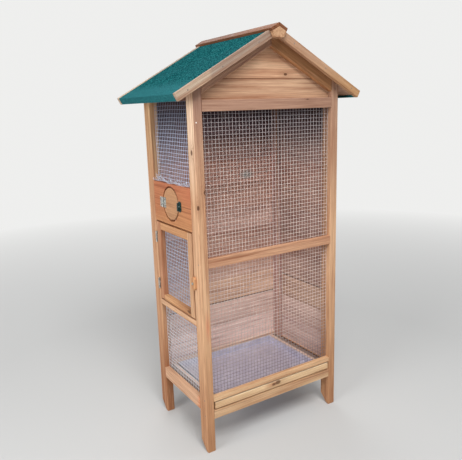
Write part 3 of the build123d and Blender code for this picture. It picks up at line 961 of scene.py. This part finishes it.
# Tray: a pan folded from galvanised sheet behind a pine front. It slides on two
# battens, between two more that guide its rim.
def zinc_sheet():
    finish = Finish("galvanised_sheet", roughness=0.5, metallic=0.25)
    x, y, z = finish.place()
    edge, flake = finish.cells((x * 95.0, y * 95.0, z * 95.0), "3D")
    cloud = finish.speckle(9.0, 3.0)
    colour = finish.mix(flake * 0.5 + cloud * 0.5, (0.40, 0.39, 0.51), (0.68, 0.65, 0.74))
    finish.feed("Base Color", colour)
    finish.feed("Roughness", 0.38 + flake * 0.25)
    finish.relief(cloud * 0.6 + edge * 0.2, 0.0004, 0.4)
    return finish.material


dressed("tray_pan", zinc_sheet(), "tray", arris=0.0003)
PALE = ((0.86, 0.58, 0.33), (0.62, 0.36, 0.19), (0.30, 0.13, 0.06))
tray_knots = (
    (0.0120, FRONT_FACE, 0.1720, 0.0085),
    (-0.0060, FRONT_FACE, 0.1700, 0.0060),
)


def ruddy_by_knot(finish, x, y, z):
    """A ruddy run beside the knot, and a paler, bluer top edge."""
    run = (1.0 - abs(x + 0.012) * 26.0).clamp() * (1.0 - abs(z - 0.171) * 90.0).clamp()
    colour = finish.mix(((z - 0.1782) * 2000.0).clamp(), (1.08, 1.16, 1.20), (1.15, 1.50, 1.90))
    return finish.mix(run * 0.8, colour, (0.72, 0.42, 0.36))


dressed(
    "tray_front",
    pine("tray_front_pine", "x", PALE, 113.0, knots=tray_knots, stain_and_light=ruddy_by_knot),
    "tray",
)
dressed("tray_runners", pine("runner_pine", "y", PALE, 127.0, left_or_right))
CREAM = ((0.86, 0.68, 0.56), (0.66, 0.48, 0.40), (0.36, 0.20, 0.16))


def shaded_outer_edge(finish, x, y, z):
    """Painted shade on the guides where they meet the rails at their outer edge."""
    return ((abs(x) - 0.2370) * 260.0).clamp() * 0.72


dressed(
    "tray_guides",
    pine("guide_pine", "y", CREAM, 131.0, left_or_right, dirt_and_shade=shaded_outer_edge),
)


# Screws and nails: small countersunk heads in the hinge leaves, the barge
# boards and the rail ends, and round nail heads along the ridge cap.
def fixing_tree():
    tree = Growth(
        "fixings",
        {
            "Radius": ("NodeSocketFloat", 0.003),
            "Rise": ("NodeSocketFloat", 0.0004),
            "Material": ("NodeSocketMaterial", None),
        },
    )
    sockets = {"Segments": 12, "Rings": 6, "Radius": 1.0}
    ball = tree.put("GeometryNodeMeshUVSphere", None, sockets).outputs[0]
    wide = tree.given["Radius"]
    size = tree.put("ShaderNodeCombineXYZ", None, {0: wide, 1: wide, 2: tree.given["Rise"]})
    heads = tree.placed(ball, tree.turned("Z", tree.facing()), size.outputs[0])
    tree.finish(tree.smooth(heads))
    return tree


def rusty_steel():
    finish = Finish("rusty_steel", roughness=0.55, metallic=0.6)
    rust = finish.speckle(300.0, 3.0, 0.6)
    finish.feed("Base Color", finish.mix(rust, (0.36, 0.33, 0.30), (0.13, 0.06, 0.035)))
    finish.feed("Roughness", 0.4 + rust * 0.4)
    finish.relief(rust, 0.0002, 0.5)
    return finish.material


def bright_nail():
    finish = Finish("bright_nail", roughness=0.35, metallic=0.2)
    scuff = finish.speckle(700.0)
    finish.feed("Base Color", finish.mix(scuff, (0.72, 0.64, 0.58), (0.95, 0.90, 0.84)))
    finish.feed("Roughness", 0.25 + scuff * 0.3)
    return finish.material


steel = rusty_steel()
fixings = fixing_tree()


def heads(name, radius, rise, material, slot, places, body="housing"):
    piece = fixings.grow(name, {"Radius": radius, "Rise": rise, "Material": material}, places)
    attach(piece, body)


def down_slope(side, along, y, lift):
    """A place on the roof's slope and the way it faces."""
    x = side * (along * math.cos(PITCH) + lift * math.sin(PITCH))
    height = RIDGE_HEIGHT - along * math.sin(PITCH) + lift * math.cos(PITCH)
    facing = Vector((side * math.sin(PITCH), 0, math.cos(PITCH)))
    return Vector((x, y, height)), facing


LEFT = Vector((-1, 0, 0))
RIGHT = Vector((1, 0, 0))
FRONT = Vector((0, -1, 0))
REAR = Vector((0, 1, 0))

cap_places = [
    down_slope(side, 0.017, y, 0.006) for side in (-1, 1) for y in (-0.170, 0.0, 0.170)
]
post_nail = [(Vector((-0.2780, FRONT_FACE, 1.1070)), FRONT)]
heads("cap_nails", 0.0024, 0.0009, zinc, "zinc_plated_steel", cap_places)
heads("post_nail", 0.0024, 0.0008, bright_nail(), "zinc_plated_steel", post_nail)

barge_places = []
barge_low, barge_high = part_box("barge_boards")
for side in (-1, 1):
    for along in (0.085, 0.235, 0.370):
        middle = down_slope(side, along, 0.0, -0.0125)[0]
        barge_places.append((Vector((middle.x, barge_low.y, middle.z)), FRONT))
        barge_places.append((Vector((middle.x, barge_high.y, middle.z)), REAR))
post_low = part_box("front_left_post")[0]
rail_places = []
for rail in ("front_mid_rail", "front_tray_rail", "front_base_rail"):
    low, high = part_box(rail)
    height = low.z + (high.z - low.z) * 0.5
    rail_places.append((Vector((post_low.x, post_low.y + 0.012, height)), LEFT))
    rail_places.append((Vector((-post_low.x, post_low.y + 0.012, height)), RIGHT))
heads("barge_screws", 0.0024, 0.0003, steel, "zinc_plated_steel", barge_places)
heads("rail_screws", 0.0026, 0.0003, steel, "zinc_plated_steel", rail_places)

leaf_low, leaf_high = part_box("hatch_board_leaf")
leaf_middle = (leaf_low.z + leaf_high.z) / 2
for name, y, body in (
    ("hatch_board_screws", 0.0655, "housing"),
    ("hatch_disc_screws", 0.0375, "hatch"),
):
    places = [
        (Vector((LEFT_FACE - 0.0012, y, leaf_middle + rise)), LEFT) for rise in (-0.0105, 0.0105)
    ]
    heads(name, 0.0031, 0.0008, steel, "zinc_plated_steel", places, body)


# Cut ends: along the top of the hatch board and under the door's sill the
# sheets were snipped through, and the ends of the wires are bent outwards
# over the timber, each at its own length.
def hook_tree():
    tree = Growth(
        "cut_wire_ends",
        {
            "Radius": ("NodeSocketFloat", 0.0005),
            "Material": ("NodeSocketMaterial", None),
        },
    )
    facing = tree.facing()
    sockets = {"Start": (0, 0, 0), "Middle": (0, 0, 1.0), "End": (0.55, 0, 1.0), "Resolution": 6}
    wire = tree.put("GeometryNodeCurveQuadraticBezier", None, sockets).outputs[0]
    length = tree.put("ShaderNodeVectorMath", {"operation": "LENGTH"}, {0: facing})
    ends = tree.placed(wire, tree.turned("Z", facing), length.outputs["Value"])
    tree.finish(tree.tubes(tree.real(ends)))
    return tree


def cut_steel():
    """Bare bright ends, bluer where the zinc was cut through."""
    finish = Finish("cut_wire", roughness=0.5, metallic=0.2)
    speck = finish.speckle(300.0)
    finish.feed("Base Color", finish.mix(speck, (0.30, 0.34, 0.52), (0.95, 0.98, 1.00)))
    finish.feed("Roughness", 0.4 + speck * 0.3)
    return finish.material


CUT_FACE = -0.2690
snips = random.Random(12)
end_places = []
sheet_low, sheet_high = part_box("upper_mesh_uprights")
sill_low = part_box("door_sill")[0]
wires = round((sheet_high.y - sheet_low.y - WIRE) / MESH_PITCH) + 1
for number in range(wires * 2):
    y = sheet_low.y + WIRE / 2 + number * MESH_PITCH / 2
    reach = Vector((-snips.uniform(0.012, 0.025), snips.uniform(-0.008, 0.008), 0.0))
    reach.z = snips.uniform(-0.005, 0.012)
    start = Vector((CUT_FACE, y, hatch_high.z + snips.uniform(0.001, 0.005)))
    end_places.append((start, reach))
for number in range(wires):
    y = sheet_low.y + WIRE / 2 + number * MESH_PITCH
    reach = Vector((-snips.uniform(0.004, 0.012), snips.uniform(-0.004, 0.004), 0.0))
    reach.z = snips.uniform(-0.006, -0.001)
    end_places.append((Vector((CUT_FACE, y, sill_low.z - 0.002)), reach))
values = {"Radius": 0.0007, "Material": cut_steel()}
wire_ends = hook_tree().grow("cut_wire_ends", values, end_places)
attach(wire_ends, "housing")


# Staples: round-backed wire staples, driven over one upright in five of each
# sheet into the backs of the rails, the sill and the hatch board.
def staple_tree():
    tree = Growth(
        "staples",
        {
            "Width": ("NodeSocketFloat", 0.007),
            "Radius": ("NodeSocketFloat", 0.0006),
            "Material": ("NodeSocketMaterial", None),
        },
    )
    facing = tree.facing()
    run = tree.vector("CROSS_PRODUCT", facing, (0.0, 0.0, 1.0))
    turn = tree.turned("X", run, tree.turned("Z", facing), "Z")
    sockets = {"Start": (-0.5, 0, -0.25), "Middle": (0, 0, 0.55), "End": (0.5, 0, -0.25)}
    sockets["Resolution"] = 6
    back = tree.put("GeometryNodeCurveQuadraticBezier", None, sockets).outputs[0]
    tree.finish(tree.tubes(tree.real(tree.placed(back, turn, tree.given["Width"]))))
    return tree


staples = staple_tree()


def staple_rows(sheet, inwards, heights):
    """Places over the inner side of every fifth upright, at these heights."""
    low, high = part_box(sheet + "_uprights")
    across = Vector((0, 1, 0)) if inwards.x else Vector((1, 0, 0))
    first = low.dot(across) + WIRE / 2
    count = round((high.dot(across) - low.dot(across) - WIRE) / MESH_PITCH) + 1
    depth = high.dot(inwards) - 0.0004
    return [
        (across * (first + number * MESH_PITCH) + inwards * depth + Vector((0, 0, height)), inwards)
        for height in heights
        for number in range(1, count, 5)
    ]


housing_staples = (
    staple_rows("front_mesh", inwards_from_front, (0.193, 0.666, 1.142))
    + staple_rows("lower_mesh", inwards_from_flank, (0.185, 0.451))
    + staple_rows("upper_mesh", inwards_from_flank, (0.902, 1.175))
)
door_staples = staple_rows("door_mesh", inwards_from_flank, (0.487, 0.737))
for name, places, body in (
    ("housing_staples", housing_staples, "housing"),
    ("door_staples", door_staples, "side_door"),
):
    piece = staples.grow(name, {"Width": 0.007, "Radius": 0.0006, "Material": zinc}, places)
    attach(piece, body)


# Floor and backdrop: a matt pale floor that carries the object's shadow, and
# fades with distance into an equally pale surround.
PALE_ROOM = (0.86, 0.86, 0.85)


def looked_at(nodes):
    """1 for what the camera sees, straight, in a gloss or through glass."""
    rays = nodes.put("ShaderNodeLightPath").outputs
    straight, glossy, through = [
        Sum(nodes, rays[f"Is {kind} Ray"]) for kind in ("Camera", "Glossy", "Transmission")
    ]
    return straight.math("MAXIMUM", glossy).math("MAXIMUM", through)


floor_mesh = bpy.data.meshes.new("floor")
floor_shape = bmesh.new()
bmesh.ops.create_circle(floor_shape, cap_ends=True, radius=30.0, segments=64)
floor_shape.to_mesh(floor_mesh)
floor_shape.free()
floor = bpy.data.objects.new("floor", floor_mesh)
bpy.context.scene.collection.objects.link(floor)
surface = Finish("pale_floor", roughness=0.9)
x, y, z = surface.place()
surface.shader.inputs["Base Color"].default_value = (0.56, 0.56, 0.55, 1.0)
distance = (x * x + y * y).math("SQRT")
fade = ((distance - 1.2) / 3.0).clamp()
glow = surface.put("ShaderNodeEmission", None, {"Color": (*PALE_ROOM, 1.0), "Strength": 1.0})
sockets = {0: fade * looked_at(surface), 1: surface.shader.outputs[0], 2: glow.outputs[0]}
blend = surface.put("ShaderNodeMixShader", None, sockets)
output = surface.tree.nodes["Material Output"]
surface.tree.links.new(blend.outputs[0], output.inputs["Surface"])
floor_mesh.materials.append(surface.material)


# Light: soft and even, one large lamp high in front, one at the left, and
# weaker ones at the right and behind, in a dim room that looks pale.
world = bpy.data.worlds.new("surround")
bpy.context.scene.world = world
world.use_nodes = True
room = Nodes(world.node_tree)
ambient = room.tree.nodes["Background"]
ambient.inputs["Color"].default_value = (0.92, 0.95, 1.0, 1.0)
ambient.inputs["Strength"].default_value = 0.26
shown = room.put("ShaderNodeBackground", None, {"Color": (*PALE_ROOM, 1.0), "Strength": 1.0})
sockets = {0: looked_at(room), 1: ambient.outputs[0], 2: shown.outputs[0]}
choose = room.put("ShaderNodeMixShader", None, sockets)
room.tree.links.new(choose.outputs[0], room.tree.nodes["World Output"].inputs["Surface"])

LAMPS_AIM = Vector((0, 0, 0.7))
for name, place, size, power in (
    ("high front", (-0.9, -2.5, 4.0), 2.0, 160.0),
    ("left", (-3.4, -0.7, 1.5), 1.8, 70.0),
    ("right", (2.6, -1.2, 2.9), 2.0, 14.0),
    ("behind", (0.9, 3.0, 2.8), 2.4, 40.0),
):
    lamp = bpy.data.lights.new(name, "AREA")
    lamp.size = size
    lamp.energy = power
    light = bpy.data.objects.new(name, lamp)
    bpy.context.scene.collection.objects.link(light)
    light.location = place
    light.rotation_euler = (LAMPS_AIM - Vector(place)).to_track_quat("-Z", "Y").to_euler()


# Camera: just below the height of the eave, off the front left corner, turned
# and tilted as fits the photo, whose width and focal length are in pixels.
STANDPOINT = (-1.0503, -1.6190, 1.1467)
YAW = math.radians(31.78)
TILT = math.radians(12.84)
ROLL = math.radians(-1.77)
PHOTO_WIDTH = 462.0
FOCAL_LENGTH = 535.6
forward = Vector((math.sin(YAW) * math.cos(TILT), math.cos(YAW) * math.cos(TILT), -math.sin(TILT)))
level = Vector((math.cos(YAW), -math.sin(YAW), 0))
upright = level.cross(forward)
right = math.cos(ROLL) * level + math.sin(ROLL) * upright
up = -math.sin(ROLL) * level + math.cos(ROLL) * upright
lens = bpy.data.cameras.new("camera")
lens.sensor_width = 36.0
lens.lens = FOCAL_LENGTH / PHOTO_WIDTH * lens.sensor_width
lens.clip_start = 0.05
lens.clip_end = 80.0
camera = bpy.data.objects.new("camera", lens)
bpy.context.scene.collection.objects.link(camera)
turn = Matrix((right, up, -forward)).transposed().to_4x4()
camera.matrix_world = Matrix.Translation(STANDPOINT) @ turn
bpy.context.scene.camera = camera
bpy.context.scene.view_settings.view_transform = "Standard"
